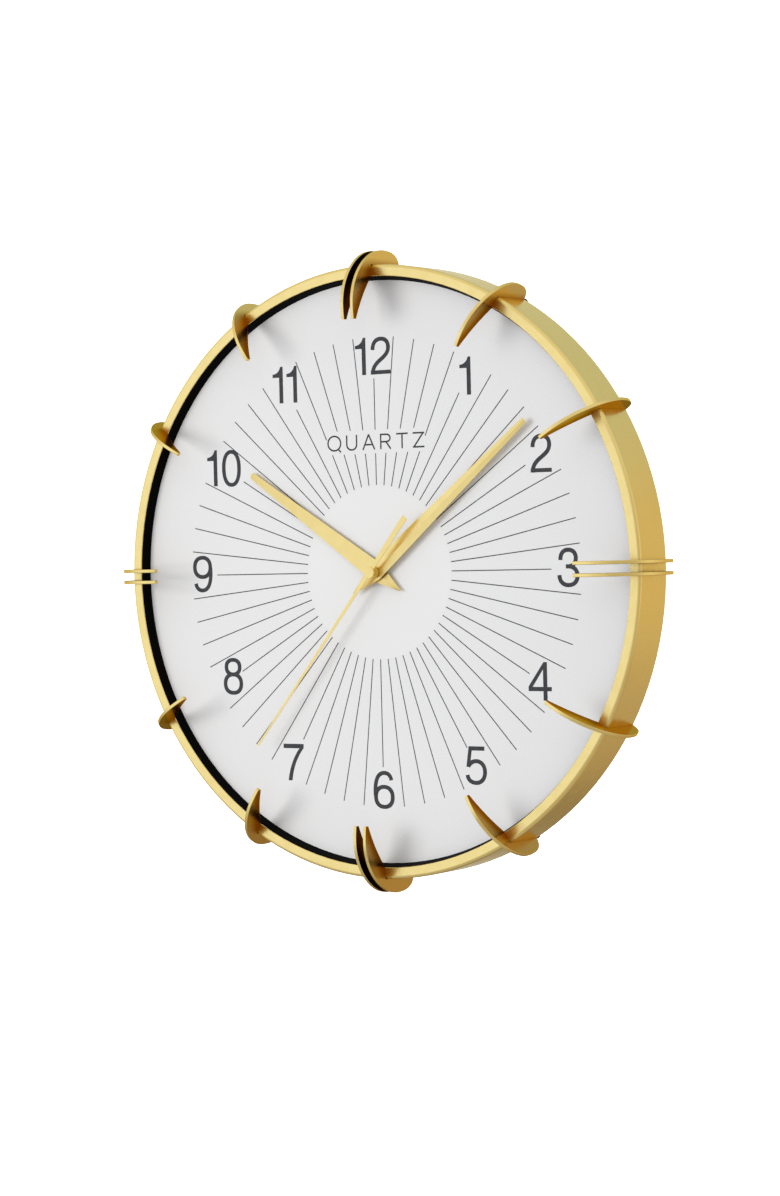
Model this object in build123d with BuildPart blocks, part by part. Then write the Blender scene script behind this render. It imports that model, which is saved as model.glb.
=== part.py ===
from build123d import *
import os
from math import atan2, cos, degrees, radians, sin

# Sunburst wall clock, in millimetres. The clock faces -Y, 12 o'clock is +Z and the hands turn about Y.
# The origin is the centre of the dial's face. "front" is a distance forward of that face, so what lies
# behind the dial has a negative front. Clock angles run clockwise from 12, in degrees.

# Case hoop: a band with a flat lip at the front and a narrow hem at the back
HOOP_RADIUS = 178.0
LIP_RADIUS = 171.3
LIP_FRONT = 6.5
HEM_FRONT = -22.9
HEM_RADIUS = 172.9
SHEET = 0.8
BEND_RADIUS = 2.0

# Sunburst blades, cut from flat plate and hooked over the hoop's front edge
BLADE_THICKNESS = 2.0
BLADE_EDGE_ROUND = 0.3
BLADE_PAIR_SPACING = 6.7
BLADE_REACH = 26.0
BLADE_RADIUS = 187.0
BLADE_CREST_RADIUS = 154.5
BLADE_TIP_RADIUS = 145.8
BLADE_TIP_WIDTH = 2.6
SEAT_GAP = 0.02
TAB_DEPTH = 2.1
TAB_FRONTS = (-12.0, -4.0)

# Face stack, from the lip back to the movement
WELL_RADIUS = 169.2
WELL_MOUTH_RADIUS = 170.9
LINER_OUTER_RADIUS = 176.5
DIAL_RADIUS = 172.6
DIAL_THICKNESS = 0.8
BOARD_THICKNESS = 3.0
GASKET_THICKNESS = 1.0
DIAL_HOLE_RADIUS = 4.1

# Movement case
MOVEMENT_SIDE = 56.0
MOVEMENT_DEPTH = 16.0
COVER_THICKNESS = 1.2
CASE_WALL = 1.2
BATTERY_RADIUS = 7.15
BATTERY_LENGTH = 49.3
BATTERY_CENTRE = (-19.3, -14.0)

# Hand rest angles, for about 8.5 minutes past 10
HOUR_ANGLE = 303.7
MINUTE_ANGLE = 51.1
SECOND_ANGLE = 219.3

# Tooth counts
ROTOR_TEETH = 10
INTERMEDIATE_TEETH = 60
INTERMEDIATE_PINION = 10
SECOND_TEETH = 50
SECOND_PINION = 8
THIRD_TEETH = 60
THIRD_PINION = 8
CENTRE_TEETH = 64
CANNON_TEETH = 12
SETTING_TEETH = 36
SETTING_PINION = 10
HOUR_TEETH = 40
KNOB_TEETH = 18

# Wheel centres as (x, z); the hands' own axis is the origin
HAND_AXIS = (0.0, 0.0)
THIRD_DISTANCE = 9.6
SETTING_DISTANCE = 9.6
INTERMEDIATE_DISTANCE = 10.0
ROTOR_MODULE = 0.2
SETTING_MODULE = 2 * SETTING_DISTANCE / (CANNON_TEETH + SETTING_TEETH)
HOUR_MODULE = 2 * SETTING_DISTANCE / (SETTING_PINION + HOUR_TEETH)
SECOND_MODULE = 2 * INTERMEDIATE_DISTANCE / (INTERMEDIATE_PINION + SECOND_TEETH)
THIRD_MODULE = 2 * THIRD_DISTANCE / (SECOND_PINION + THIRD_TEETH)
CENTRE_MODULE = 2 * THIRD_DISTANCE / (THIRD_PINION + CENTRE_TEETH)


def clock_point(radius, clock_angle):
    """The (x, z) point at a radius and a clock angle from the hand axis."""
    angle = radians(clock_angle)
    return (radius * sin(angle), radius * cos(angle))


def beside(centre, distance, clock_angle):
    """The (x, z) point at a distance and a clock angle from another centre."""
    step = clock_point(distance, clock_angle)
    return (centre[0] + step[0], centre[1] + step[1])


THIRD_AXIS = beside(HAND_AXIS, THIRD_DISTANCE, 82.0)
SETTING_AXIS = beside(HAND_AXIS, SETTING_DISTANCE, 308.7)
INTERMEDIATE_AXIS = beside(HAND_AXIS, INTERMEDIATE_DISTANCE, 14.5)
ROTOR_AXIS = beside(INTERMEDIATE_AXIS, ROTOR_MODULE * (ROTOR_TEETH + INTERMEDIATE_TEETH) / 2, 12.4)
KNOB_AXIS = beside(SETTING_AXIS, SETTING_MODULE * (SETTING_TEETH + KNOB_TEETH) / 2, 270.0)

# Levels through the clock, as fronts
BOARD_BACK = -DIAL_THICKNESS - BOARD_THICKNESS
MOVEMENT_FRONT = BOARD_BACK - GASKET_THICKNESS
COVER_BACK = MOVEMENT_FRONT - COVER_THICKNESS
MOVEMENT_BACK = MOVEMENT_FRONT - MOVEMENT_DEPTH
BRIDGE_LEVELS = (-16.8, -15.8)
ROTOR_PINION_LEVELS = (-15.3, -14.5)
MAGNET_LEVELS = (-8.4, -6.6)
INTERMEDIATE_LEVELS = (-15.2, -14.7)
INTERMEDIATE_PINION_LEVELS = (-14.2, -13.0)
SECOND_WHEEL_LEVELS = (-14.0, -13.2)
SECOND_PINION_LEVELS = (-12.6, -11.2)
THIRD_WHEEL_LEVELS = (-12.2, -11.4)
THIRD_PINION_LEVELS = (-11.0, -9.5)
CENTRE_WHEEL_LEVELS = (-10.6, -9.8)
CANNON_LEVELS = (-9.3, -7.9)
MINUTE_TUBE_BACK = -11.0
SEAT_HEIGHT = 0.65
SETTING_WHEEL_LEVELS = (-9.1, -8.1)
SETTING_PINION_LEVELS = (-8.1, -6.3)
SETTING_POST_BACK = -9.6
HOUR_WHEEL_LEVELS = (-7.5, -6.3)
KNOB_PINION_LEVELS = (-9.3, -8.0)
STATOR_LEVELS = (-7.9, -7.1)
HOUR_HAND_FRONT = 1.95
MINUTE_HAND_FRONT = 3.95
SECOND_HUB_FRONT = 4.95
SECOND_HAND_FRONT = 9.4

# Shaft radii; a shaft runs 0.04 or 0.05 clear of its hole
RUNNING_GAP = 0.04
PIVOT_RADIUS = 0.3
ARBOR_RADIUS = 0.5
MINUTE_TUBE_RADIUS = 1.5
MINUTE_SEAT_RADIUS = 1.3
HOUR_PIPE_RADIUS = 2.5
HOUR_SEAT_RADIUS = 2.2
BUSH_RADIUS = 4.0
KNOB_STEM_RADIUS = 2.0
POST_RADIUS = 0.8
MAGNET_RADIUS = 2.5

PILLARS = ((-22.5, -6.5), (17.3, -7.6), (22.5, 16.0), (-18.0, 17.0))
PILLAR_RADIUS = 1.6
PEG_RADIUS = 0.8

os.makedirs("parts", exist_ok=True)


def keep(builder, name):
    """Label a finished piece and write it as the node of that name."""
    builder.part.label = name
    export_step(builder.part, f"parts/{name}.step")


def axis_plane(centre, front):
    """A plane parallel to the dial, facing forward, with its origin at an (x, z) centre."""
    return Plane(origin=(centre[0], -front, centre[1]), x_dir=(1, 0, 0), z_dir=(0, -1, 0))


def radial_plane(clock_angle, shift=0.0):
    """A plane through the hand axis: local x is the radius and local y is the front."""
    outward = Vector(sin(radians(clock_angle)), 0, cos(radians(clock_angle)))
    clockwise = Vector(cos(radians(clock_angle)), 0, -sin(radians(clock_angle)))
    return Plane(origin=clockwise * shift, x_dir=outward, z_dir=clockwise)


def disc(centre, radius, levels, mode=Mode.ADD):
    """Add or cut a round disc between two fronts."""
    with BuildSketch(axis_plane(centre, levels[0])) as outline:
        Circle(radius)
    extrude(outline.sketch, amount=levels[1] - levels[0], mode=mode)


def slab(x_range, z_range, levels, mode=Mode.ADD):
    """Add or cut a rectangular block between two fronts."""
    centre = (sum(x_range) / 2, sum(z_range) / 2)
    with BuildSketch(axis_plane(centre, levels[0])) as outline:
        Rectangle(x_range[1] - x_range[0], z_range[1] - z_range[0])
    extrude(outline.sketch, amount=levels[1] - levels[0], mode=mode)


def gear(centre, teeth, module, phase, levels, small=False):
    """Add a spur gear with a tooth at the phase angle, measured anticlockwise from +X.

    A tooth is six points: root, pitch and tip on each flank. A small pinion has straight, slimmer teeth,
    so that a large wheel's teeth pass into it without touching.
    """
    pitch_radius = module * teeth / 2
    root_half, pitch_half, tip_half = (0.21, 0.20, 0.10) if small else (0.30, 0.21, 0.11)
    root = (pitch_radius - 1.25 * module, root_half)
    middle = (pitch_radius, pitch_half)
    tip = (pitch_radius + 0.85 * module, tip_half)
    tooth = [(root, -1), (middle, -1), (tip, -1), (tip, 1), (middle, 1), (root, 1)]
    points = []
    for number in range(teeth):
        for (radius, half), side in tooth:
            angle = radians(phase + (number + side * half) * 360 / teeth)
            points.append((radius * cos(angle), radius * sin(angle)))
    with BuildSketch(axis_plane(centre, levels[0])) as outline:
        with BuildLine():
            Polyline(*points, close=True)
        make_face()
    extrude(outline.sketch, amount=levels[1] - levels[0])


def mesh_phase(driver_centre, driver_teeth, driver_phase, centre, teeth):
    """The phase that puts a gear's tooth gap around the driving gear's nearest tooth."""
    direction = degrees(atan2(centre[1] - driver_centre[1], centre[0] - driver_centre[0]))
    driver_offset = driver_phase - direction
    return direction + 180 - driver_offset * driver_teeth / teeth + 180 / teeth


# ---------------------------------------------------------------- case hoop and sunburst blades

def blade_places():
    """Name, clock angle and sideways shift of every blade: pairs at the quarters, singles between."""
    places = []
    for hour in range(1, 13):
        if hour % 3:
            places.append((f"blade_{hour}", hour * 30.0, 0.0))
        else:
            places.append((f"blade_{hour}_first", hour * 30.0, -BLADE_PAIR_SPACING / 2))
            places.append((f"blade_{hour}_second", hour * 30.0, BLADE_PAIR_SPACING / 2))
    return places


with BuildPart() as case_ring:
    with BuildSketch(Plane.XY):
        with BuildLine():
            Polyline(
                (LIP_RADIUS, -LIP_FRONT),
                (HOOP_RADIUS, -LIP_FRONT),
                (HOOP_RADIUS, -HEM_FRONT),
                (HEM_RADIUS, -HEM_FRONT),
                (HEM_RADIUS, -HEM_FRONT - SHEET),
                (HOOP_RADIUS - SHEET, -HEM_FRONT - SHEET),
                (HOOP_RADIUS - SHEET, -LIP_FRONT + SHEET),
                (LIP_RADIUS, -LIP_FRONT + SHEET),
                close=True,
            )
        make_face()
        fillet(vertices().group_by(Axis.X)[-1].sort_by(Axis.Y)[0], BEND_RADIUS)
        fillet(vertices().group_by(Axis.X)[-1].sort_by(Axis.Y)[-1], SHEET)
        inside_bend = vertices().sort_by_distance(
            (HOOP_RADIUS - SHEET, -LIP_FRONT + SHEET)
        )[0]
        fillet(inside_bend, BEND_RADIUS - SHEET)
        fillet(vertices().group_by(Axis.X)[0], 0.4 * SHEET)
    revolve(axis=Axis.Y)
    for _, slot_angle, slot_shift in blade_places():
        with BuildSketch(radial_plane(slot_angle, slot_shift)):
            with Locations((HOOP_RADIUS, sum(TAB_FRONTS) / 2)):
                Rectangle(4 * SHEET, TAB_FRONTS[1] - TAB_FRONTS[0] + 2 * SEAT_GAP)
        extrude(amount=BLADE_THICKNESS / 2 + SEAT_GAP, both=True, mode=Mode.SUBTRACT)
keep(case_ring, "case_ring")


def build_blade(name, clock_angle, shift):
    """One claw: a rounded lobe outside the hoop, a notch over its edge and a point over the dial."""
    seat_radius = HOOP_RADIUS + SEAT_GAP
    seat_front = LIP_FRONT + SEAT_GAP
    foot_front = HEM_FRONT + 0.2
    shoulder = (BLADE_RADIUS, -6.5)
    crest = (BLADE_CREST_RADIUS, BLADE_REACH)
    tip_inner = (BLADE_TIP_RADIUS, BLADE_REACH - 0.7 - BLADE_TIP_WIDTH)
    tip_outer = (BLADE_TIP_RADIUS, BLADE_REACH - 0.7)
    with BuildPart() as blade:
        with BuildSketch(radial_plane(clock_angle, shift - BLADE_THICKNESS / 2)):
            with BuildLine():
                Bezier((seat_radius, foot_front), (185.0, -22.8), (BLADE_RADIUS, -15.0), shoulder)
                Bezier(shoulder, (BLADE_RADIUS, 9.0), (172.5, BLADE_REACH), crest)
                Bezier(crest, (151.6, BLADE_REACH), (148.7, 25.8), tip_outer)
                Line(tip_outer, tip_inner)
                Spline(tip_inner, (158.6, 15.9), (LIP_RADIUS - 0.4, seat_front))
                Polyline(
                    (LIP_RADIUS - 0.4, seat_front),
                    (seat_radius, seat_front),
                    (seat_radius, TAB_FRONTS[1]),
                    (seat_radius - TAB_DEPTH, TAB_FRONTS[1]),
                    (seat_radius - TAB_DEPTH, TAB_FRONTS[0]),
                    (seat_radius, TAB_FRONTS[0]),
                    (seat_radius, foot_front),
                )
            make_face()
        extrude(amount=BLADE_THICKNESS)
        fillet(edges().filter_by(GeomType.BSPLINE), BLADE_EDGE_ROUND)
    keep(blade, name)


for blade_name, blade_angle, blade_shift in blade_places():
    build_blade(blade_name, blade_angle, blade_shift)


# ---------------------------------------------------------------- face stack

with BuildPart() as well_liner:
    with BuildSketch(Plane.XY):
        with BuildLine():
            Polyline(
                (WELL_RADIUS, 0),
                (LINER_OUTER_RADIUS, 0),
                (LINER_OUTER_RADIUS, -LIP_FRONT + SHEET + 0.6),
                (LINER_OUTER_RADIUS - 0.7, -LIP_FRONT + SHEET),
                (WELL_MOUTH_RADIUS + 0.4, -LIP_FRONT + SHEET),
                (WELL_MOUTH_RADIUS, -LIP_FRONT + SHEET + 0.4),
                close=True,
            )
        make_face()
    revolve(axis=Axis.Y)
keep(well_liner, "well_liner")

with BuildPart() as dial:
    disc(HAND_AXIS, DIAL_RADIUS, (-DIAL_THICKNESS, 0))
    disc(HAND_AXIS, DIAL_HOLE_RADIUS, (-DIAL_THICKNESS, 0), mode=Mode.SUBTRACT)
keep(dial, "dial")

# The hanger is a bent strip: a foot screwed to the board, a web, and a keyhole plate near the wall.
HANGER_X = (-15.0, 15.0)
HANGER_WEB_Z = 122.0
HANGER_FOOT_Z = 104.0
HANGER_TOP_Z = 150.0
HANGER_PLATE_LEVELS = (-21.6, -20.4)
KEYHOLE_Z = 134.0
KEYHOLE_RADIUS = 4.5
KEYHOLE_SLOT_RADIUS = 2.2
KEYHOLE_SLOT_TOP = 143.0
HANGER_SCREWS = ((-9.0, 113.0), (9.0, 113.0))
SCREW_RADIUS = 1.4
SCREW_HEAD_RADIUS = 2.8

with BuildPart() as backing_board:
    disc(HAND_AXIS, DIAL_RADIUS, (BOARD_BACK, -DIAL_THICKNESS))
    disc(HAND_AXIS, DIAL_HOLE_RADIUS, (BOARD_BACK, -DIAL_THICKNESS), mode=Mode.SUBTRACT)
    for spot in HANGER_SCREWS:
        disc(spot, SCREW_RADIUS + RUNNING_GAP, (BOARD_BACK, BOARD_BACK + 2.4), mode=Mode.SUBTRACT)
keep(backing_board, "backing_board")

# Four bent tabs are welded inside the hoop and folded over the back of the board.
TAB_ANGLES = (45.0, 135.0, 225.0, 315.0)
with BuildPart() as retaining_tabs:
    for tab_angle in TAB_ANGLES:
        with BuildSketch(radial_plane(tab_angle)):
            with BuildLine():
                tab_outer = HOOP_RADIUS - SHEET - 0.15
                Polyline(
                    (tab_outer, BOARD_BACK),
                    (tab_outer, BOARD_BACK - 11.0),
                    (tab_outer - 1.0, BOARD_BACK - 11.0),
                    (tab_outer - 1.0, BOARD_BACK - 1.0),
                    (tab_outer - 12.0, BOARD_BACK - 1.0),
                    (tab_outer - 12.0, BOARD_BACK),
                    close=True,
                )
            make_face()
        extrude(amount=6.0, both=True)
keep(retaining_tabs, "retaining_tabs")

with BuildPart() as hanger:
    slab(HANGER_X, (HANGER_FOOT_Z, HANGER_WEB_Z), (BOARD_BACK - SHEET, BOARD_BACK))
    slab(HANGER_X, (HANGER_WEB_Z - SHEET, HANGER_WEB_Z), (HANGER_PLATE_LEVELS[0], BOARD_BACK))
    slab(HANGER_X, (HANGER_WEB_Z - SHEET, HANGER_TOP_Z), HANGER_PLATE_LEVELS)
    disc((0, KEYHOLE_Z), KEYHOLE_RADIUS, HANGER_PLATE_LEVELS, mode=Mode.SUBTRACT)
    slab(
        (-KEYHOLE_SLOT_RADIUS, KEYHOLE_SLOT_RADIUS),
        (KEYHOLE_Z, KEYHOLE_SLOT_TOP),
        HANGER_PLATE_LEVELS,
        mode=Mode.SUBTRACT,
    )
    disc((0, KEYHOLE_SLOT_TOP), KEYHOLE_SLOT_RADIUS, HANGER_PLATE_LEVELS, mode=Mode.SUBTRACT)
    for spot in HANGER_SCREWS:
        disc(spot, SCREW_RADIUS + 0.2, (BOARD_BACK - SHEET, BOARD_BACK), mode=Mode.SUBTRACT)
keep(hanger, "hanger")

with BuildPart() as hanger_screws:
    for spot in HANGER_SCREWS:
        disc(spot, SCREW_RADIUS, (BOARD_BACK - SHEET, BOARD_BACK + 2.2))
        disc(spot, SCREW_HEAD_RADIUS, (BOARD_BACK - SHEET - 1.6, BOARD_BACK - SHEET))
        slab(
            (spot[0] - SCREW_HEAD_RADIUS, spot[0] + SCREW_HEAD_RADIUS),
            (spot[1] - 0.35, spot[1] + 0.35),
            (BOARD_BACK - SHEET - 1.6, BOARD_BACK - SHEET - 0.8),
            mode=Mode.SUBTRACT,
        )
keep(hanger_screws, "hanger_screws")

BUMPER_RADIUS = 2.5
BUMPER_ANGLES = (30.0, 150.0, 210.0, 330.0)
with BuildPart() as wall_bumpers:
    for bumper_angle in BUMPER_ANGLES:
        bumper_centre = clock_point((HEM_RADIUS + HOOP_RADIUS) / 2, bumper_angle)
        disc(bumper_centre, BUMPER_RADIUS, (-BLADE_REACH, HEM_FRONT))
keep(wall_bumpers, "wall_bumpers")


# ---------------------------------------------------------------- movement: fixed pieces

with BuildPart() as threaded_bush:
    disc(HAND_AXIS, BUSH_RADIUS, (MOVEMENT_FRONT, 1.7))
    disc(HAND_AXIS, 1.5 * BUSH_RADIUS, (COVER_BACK, MOVEMENT_FRONT))
    disc(HAND_AXIS, HOUR_PIPE_RADIUS + 0.05, (COVER_BACK, 1.7), mode=Mode.SUBTRACT)
    chamfer(faces().sort_by(Axis.Y)[0].outer_wire().edges(), 0.3)
keep(threaded_bush, "threaded_bush")

NUT_RADIUS = 4.95
with BuildPart() as nut_washer:
    disc(HAND_AXIS, NUT_RADIUS, (0, 0.35))
    disc(HAND_AXIS, DIAL_HOLE_RADIUS, (0, 0.35), mode=Mode.SUBTRACT)
keep(nut_washer, "nut_washer")

with BuildPart() as mounting_nut:
    disc(HAND_AXIS, NUT_RADIUS, (0.35, 1.55))
    disc(HAND_AXIS, BUSH_RADIUS + 0.02, (0.35, 1.55), mode=Mode.SUBTRACT)
    slab((-NUT_RADIUS, NUT_RADIUS), (-0.5, 0.5), (1.0, 1.55), mode=Mode.SUBTRACT)
keep(mounting_nut, "mounting_nut")

with BuildPart() as movement_gasket:
    disc(HAND_AXIS, 9.0, (MOVEMENT_FRONT, BOARD_BACK))
    disc(HAND_AXIS, DIAL_HOLE_RADIUS, (MOVEMENT_FRONT, BOARD_BACK), mode=Mode.SUBTRACT)
keep(movement_gasket, "movement_gasket")

# The cover closes the movement's front. It carries the pillars, the setting wheel's post and three
# bearings.
HALF_SIDE = MOVEMENT_SIDE / 2
BEARING_RADIUS = 1.1
THIRD_BEARING_BACK = -9.2
INTERMEDIATE_BEARING_BACK = -7.5
with BuildPart() as movement_cover:
    with BuildSketch(axis_plane(HAND_AXIS, COVER_BACK)):
        RectangleRounded(MOVEMENT_SIDE, MOVEMENT_SIDE, 3.0)
    extrude(amount=COVER_THICKNESS)
    disc(HAND_AXIS, 1.5 * BUSH_RADIUS + 0.02, (COVER_BACK, MOVEMENT_FRONT), mode=Mode.SUBTRACT)
    for pillar in PILLARS:
        disc(pillar, PILLAR_RADIUS, (BRIDGE_LEVELS[1], COVER_BACK))
        disc(pillar, PEG_RADIUS, (BRIDGE_LEVELS[0] - 0.3, BRIDGE_LEVELS[1]))
    disc(SETTING_AXIS, POST_RADIUS, (SETTING_POST_BACK, COVER_BACK))
    disc(THIRD_AXIS, BEARING_RADIUS, (THIRD_BEARING_BACK, COVER_BACK))
    disc(INTERMEDIATE_AXIS, BEARING_RADIUS, (INTERMEDIATE_BEARING_BACK, COVER_BACK))
    pivot_hole = PIVOT_RADIUS + RUNNING_GAP
    disc(THIRD_AXIS, pivot_hole, (THIRD_BEARING_BACK, THIRD_BEARING_BACK + 1.8), mode=Mode.SUBTRACT)
    disc(
        INTERMEDIATE_AXIS,
        pivot_hole,
        (INTERMEDIATE_BEARING_BACK, INTERMEDIATE_BEARING_BACK + 1.6),
        mode=Mode.SUBTRACT,
    )
    disc(ROTOR_AXIS, pivot_hole, (COVER_BACK, COVER_BACK + 0.8), mode=Mode.SUBTRACT)
keep(movement_cover, "movement_cover")

# The housing is a tray with a wheel chamber above and a battery bay, open at the back, below.
CAVITY = HALF_SIDE - CASE_WALL
DIVIDER_Z = (-11.6, -10.4)
BAY_FLOOR = COVER_BACK - 0.6
STRIP_SLOT = 2.4
with BuildPart() as movement_housing:
    with BuildSketch(axis_plane(HAND_AXIS, MOVEMENT_BACK)):
        RectangleRounded(MOVEMENT_SIDE, MOVEMENT_SIDE, 3.0)
    extrude(amount=COVER_BACK - MOVEMENT_BACK)
    chamber_levels = (MOVEMENT_BACK + CASE_WALL, COVER_BACK)
    bay_levels = (MOVEMENT_BACK, BAY_FLOOR)
    slab((-CAVITY, CAVITY), (DIVIDER_Z[1], CAVITY), chamber_levels, mode=Mode.SUBTRACT)
    slab((-CAVITY, CAVITY), (-CAVITY, DIVIDER_Z[0]), bay_levels, mode=Mode.SUBTRACT)
    disc(
        KNOB_AXIS,
        KNOB_STEM_RADIUS + RUNNING_GAP,
        (MOVEMENT_BACK, MOVEMENT_BACK + CASE_WALL),
        mode=Mode.SUBTRACT,
    )
    for side in (-1, 1):
        slot_x = sorted((side * CAVITY, side * (CAVITY - STRIP_SLOT)))
        slab(slot_x, DIVIDER_Z, (-9.6, -7.6), mode=Mode.SUBTRACT)
keep(movement_housing, "movement_housing")

with BuildPart() as gear_bridge:
    with BuildSketch(axis_plane((0.5, 5.0), BRIDGE_LEVELS[0])):
        RectangleRounded(50.0, 28.0, 2.0)
    extrude(amount=BRIDGE_LEVELS[1] - BRIDGE_LEVELS[0])
    for pillar in PILLARS:
        disc(pillar, PEG_RADIUS + 0.02, BRIDGE_LEVELS, mode=Mode.SUBTRACT)
    disc(HAND_AXIS, ARBOR_RADIUS + RUNNING_GAP, BRIDGE_LEVELS, mode=Mode.SUBTRACT)
    for pivot in (THIRD_AXIS, INTERMEDIATE_AXIS, ROTOR_AXIS):
        disc(pivot, PIVOT_RADIUS + RUNNING_GAP, BRIDGE_LEVELS, mode=Mode.SUBTRACT)
    disc(KNOB_AXIS, KNOB_STEM_RADIUS + RUNNING_GAP, BRIDGE_LEVELS, mode=Mode.SUBTRACT)
keep(gear_bridge, "gear_bridge")

# Stepping motor: a stator around the rotor, and a coil on a core across the stator's two legs.
STATOR_X = (-10.0, 18.0)
STATOR_LEG_WIDTH = 3.4
COIL_Z = 23.7
CORE_HALF_HEIGHT = 1.3
CORE_LEVELS = (-9.9, -7.9)
COIL_FRONT = sum(CORE_LEVELS) / 2
COIL_X = (-5.6, 13.6)
BOBBIN_FLANGE = 0.8
with BuildPart() as stator:
    slab(STATOR_X, (12.3, 20.7), STATOR_LEVELS)
    slab((STATOR_X[0], STATOR_X[0] + STATOR_LEG_WIDTH), (20.7, 26.2), STATOR_LEVELS)
    slab((STATOR_X[1] - STATOR_LEG_WIDTH, STATOR_X[1]), (20.7, 26.2), STATOR_LEVELS)
    disc(ROTOR_AXIS, MAGNET_RADIUS + 0.4, STATOR_LEVELS, mode=Mode.SUBTRACT)
keep(stator, "stator")

with BuildPart() as coil_core:
    slab(STATOR_X, (COIL_Z - CORE_HALF_HEIGHT, COIL_Z + CORE_HALF_HEIGHT), CORE_LEVELS)
keep(coil_core, "coil_core")


def coil_ring(x_range, outer_radius, inner_radius):
    """Add a sleeve around the coil's axis between two x values."""
    coil_plane = Plane(origin=(x_range[0], -COIL_FRONT, COIL_Z), x_dir=(0, 1, 0), z_dir=(1, 0, 0))
    with BuildSketch(coil_plane) as outline:
        Circle(outer_radius)
        Circle(inner_radius, mode=Mode.SUBTRACT)
    extrude(outline.sketch, amount=x_range[1] - x_range[0])


with BuildPart() as coil_bobbin:
    coil_ring(COIL_X, 2.0, 1.7)
    coil_ring((COIL_X[0], COIL_X[0] + BOBBIN_FLANGE), 2.8, 1.7)
    coil_ring((COIL_X[1] - BOBBIN_FLANGE, COIL_X[1]), 2.8, 1.7)
keep(coil_bobbin, "coil_bobbin")

with BuildPart() as coil_winding:
    coil_ring((COIL_X[0] + BOBBIN_FLANGE, COIL_X[1] - BOBBIN_FLANGE), 2.6, 2.0)
keep(coil_winding, "coil_winding")

# Electronics beside the train, and the battery with its two contact springs
BOARD_X = (19.4, 26.4)
BOARD_Z = (-9.4, 9.6)
CIRCUIT_LEVELS = (-9.0, -8.0)
with BuildPart() as circuit_board:
    slab(BOARD_X, BOARD_Z, CIRCUIT_LEVELS)
keep(circuit_board, "circuit_board")

with BuildPart() as chip_blob:
    disc((22.9, 5.0), 2.4, (CIRCUIT_LEVELS[0] - 0.9, CIRCUIT_LEVELS[0]))
    fillet(faces().sort_by(Axis.Y)[-1].edges(), 0.6)
keep(chip_blob, "chip_blob")

with BuildPart() as quartz_crystal:
    can_plane = Plane(
        origin=(22.9, -CIRCUIT_LEVELS[0] + 1.05, -7.0), x_dir=(1, 0, 0), z_dir=(0, 0, 1)
    )
    with BuildSketch(can_plane):
        Circle(1.0)
    extrude(amount=6.2)
keep(quartz_crystal, "quartz_crystal")

with BuildPart() as battery:
    battery_plane = Plane(
        origin=(-BATTERY_LENGTH / 2, -BATTERY_CENTRE[1], BATTERY_CENTRE[0]),
        x_dir=(0, 1, 0),
        z_dir=(1, 0, 0),
    )
    with BuildSketch(battery_plane):
        Circle(BATTERY_RADIUS)
    extrude(amount=BATTERY_LENGTH)
    fillet(edges().filter_by(GeomType.CIRCLE), 0.6)
    with BuildSketch(battery_plane.offset(BATTERY_LENGTH)):
        Circle(2.7)
    extrude(amount=1.0)
keep(battery, "battery")


def build_contact(name, side, strip_end_x):
    """A contact plate at one end of the bay, and its strip through the divider to the circuit board."""
    plate_x = sorted((side * (CAVITY - 0.4), side * (CAVITY - 0.1)))
    strip_x = sorted((side * (CAVITY - 0.1), side * (CAVITY - 1.8)))
    with BuildPart() as contact:
        slab(plate_x, (-24.0, DIVIDER_Z[0] - 0.1), (-18.5, -7.8))
        slab(strip_x, (DIVIDER_Z[0] - 0.4, DIVIDER_Z[1] + 0.5), (-9.4, -9.1))
        run_x = sorted((side * (CAVITY - 0.1), strip_end_x))
        slab(run_x, (DIVIDER_Z[1] + 0.1, DIVIDER_Z[1] + 0.5), (-9.4, -8.1))
        pad_x = sorted((strip_end_x, strip_end_x - side * 2.0))
        slab(pad_x, (DIVIDER_Z[1] + 0.1, DIVIDER_Z[1] + 2.4), (-9.4, -9.1))
        bump_plane = Plane(
            origin=(side * (CAVITY - 0.4), -BATTERY_CENTRE[1], BATTERY_CENTRE[0]),
            x_dir=(0, 1, 0),
            z_dir=(-side, 0, 0),
        )
        with BuildSketch(bump_plane):
            Circle(2.2)
        bump_height = CAVITY - 0.4 - BATTERY_LENGTH / 2 - (1.0 if side > 0 else 0.0) - 0.05
        extrude(amount=bump_height, taper=18)
    keep(contact, name)


build_contact("contact_plus", 1, 24.4)
build_contact("contact_minus", -1, 19.8)


# ---------------------------------------------------------------- movement: wheels

ROTOR_PHASE = 0.0
INTERMEDIATE_PHASE = mesh_phase(
    ROTOR_AXIS, ROTOR_TEETH, ROTOR_PHASE, INTERMEDIATE_AXIS, INTERMEDIATE_TEETH
)
SECOND_PHASE = mesh_phase(INTERMEDIATE_AXIS, INTERMEDIATE_PINION, 0.0, HAND_AXIS, SECOND_TEETH)
THIRD_PHASE = mesh_phase(HAND_AXIS, SECOND_PINION, 0.0, THIRD_AXIS, THIRD_TEETH)
CENTRE_PHASE = mesh_phase(THIRD_AXIS, THIRD_PINION, 0.0, HAND_AXIS, CENTRE_TEETH)
SETTING_PHASE = mesh_phase(HAND_AXIS, CANNON_TEETH, 0.0, SETTING_AXIS, SETTING_TEETH)
HOUR_PHASE = mesh_phase(SETTING_AXIS, SETTING_PINION, 0.0, HAND_AXIS, HOUR_TEETH)
KNOB_PHASE = mesh_phase(SETTING_AXIS, SETTING_TEETH, SETTING_PHASE, KNOB_AXIS, KNOB_TEETH)
PIVOT_END = BRIDGE_LEVELS[0] + 0.2

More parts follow.
